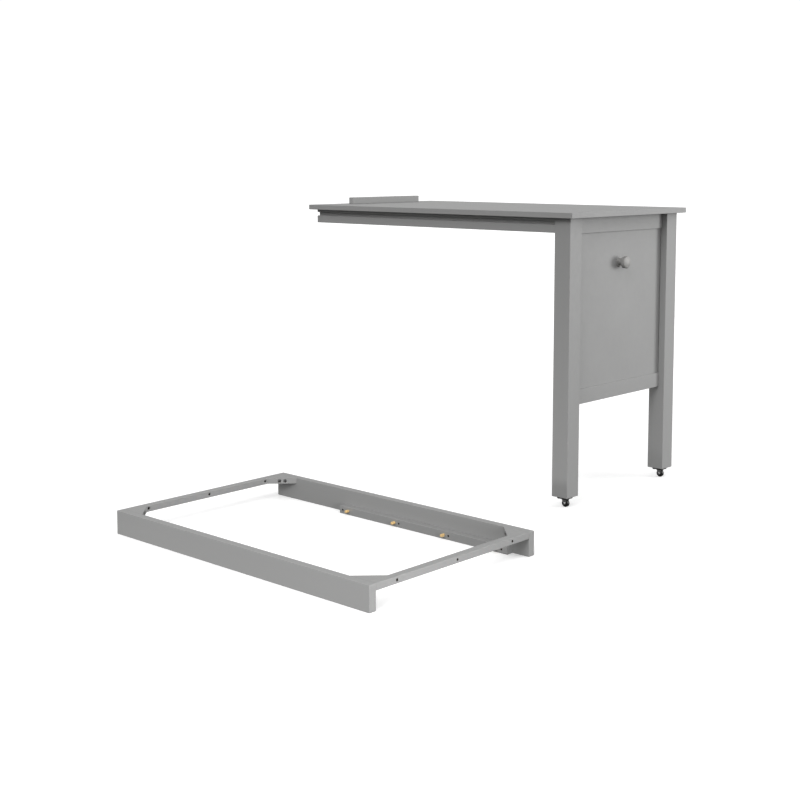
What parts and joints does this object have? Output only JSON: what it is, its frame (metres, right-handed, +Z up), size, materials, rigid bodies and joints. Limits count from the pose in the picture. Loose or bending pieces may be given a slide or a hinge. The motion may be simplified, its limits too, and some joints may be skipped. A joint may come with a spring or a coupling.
{
  "type": "changing table",
  "caption": "Pull-out changing table with grooved side rails, a panelled end on two small casters and a pull knob, and its loose low frame with dowels for a neighbouring board.",
  "frame": {"origin": "on the floor, at the middle of the box that holds the table and the loose frame", "axes": "+X along the table's long side towards its legs and knob, +Y from the loose frame towards the table, +Z up"},
  "size_m": [1.243, 1.604, 0.872],
  "materials": {
    "grey_paint": "satin painted wood, light grey",
    "beech": "bare fluted beech dowel",
    "satin_nickel": "satin nickel",
    "zinc_steel": "bright zinc plate",
    "dark_zinc": "dark passivated zinc plate",
    "black_steel": "black coated metal",
    "black_nylon": "black moulded nylon"
  },
  "bodies": {
    "table": {"table_top": "grey_paint", "stop_block": "grey_paint", "stop_block_screws": "zinc_steel", "front_runner_rail": "grey_paint", "rear_runner_rail": "grey_paint", "left_cross_rail": "grey_paint", "front_leg": "grey_paint", "rear_leg": "grey_paint", "top_rail": "grey_paint", "bottom_rail": "grey_paint", "end_panel": "grey_paint", "rail_dowels": "beech", "runner_dowels": "beech", "top_brackets": "zinc_steel", "bracket_screws": "zinc_steel", "knob_rosette": "satin_nickel", "knob": "satin_nickel", "knob_screw": "zinc_steel", "front_caster_plate": "black_steel", "front_caster_screws": "zinc_steel", "front_caster_race": "zinc_steel", "front_caster_kingpin": "zinc_steel", "rear_caster_plate": "black_steel", "rear_caster_screws": "zinc_steel", "rear_caster_race": "zinc_steel", "rear_caster_kingpin": "zinc_steel"},
    "front_swivel": {"front_caster_fork": "dark_zinc", "front_caster_axle": "zinc_steel"},
    "front_wheel": {"front_caster_wheel": "black_nylon"},
    "rear_swivel": {"rear_caster_fork": "dark_zinc", "rear_caster_axle": "zinc_steel"},
    "rear_wheel": {"rear_caster_wheel": "black_nylon"},
    "loose_frame": {"frame_front_rail": "grey_paint", "frame_rear_rail": "grey_paint", "frame_left_batten": "grey_paint", "frame_right_batten": "grey_paint", "front_left_block": "grey_paint", "front_right_block": "grey_paint", "rear_left_block": "grey_paint", "rear_right_block": "grey_paint", "block_screws": "zinc_steel", "dowel_strip": "grey_paint", "strip_dowels": "beech"}
  },
  "joints": [
    {"name": "front_caster_swivel", "type": "hinge", "parent": "table", "child": "front_swivel", "pos_m": [0.3935, 0.2455, 0.0245], "axis": [0, 0, 1], "continuous": true},
    {"name": "front_caster_roll", "type": "hinge", "parent": "front_swivel", "child": "front_wheel", "pos_m": [0.3965, 0.2455, 0.011], "axis": [0, 1, 0], "continuous": true},
    {"name": "rear_caster_swivel", "type": "hinge", "parent": "table", "child": "rear_swivel", "pos_m": [0.3935, 0.7535, 0.0245], "axis": [0, 0, 1], "continuous": true},
    {"name": "rear_caster_roll", "type": "hinge", "parent": "rear_swivel", "child": "rear_wheel", "pos_m": [0.3965, 0.7535, 0.011], "axis": [0, 1, 0], "continuous": true},
    {"name": "frame_lift", "type": "slide", "parent": "table", "child": "loose_frame", "axis": [0, 0, 1], "range_m": [0, 0.3]}
  ]
}
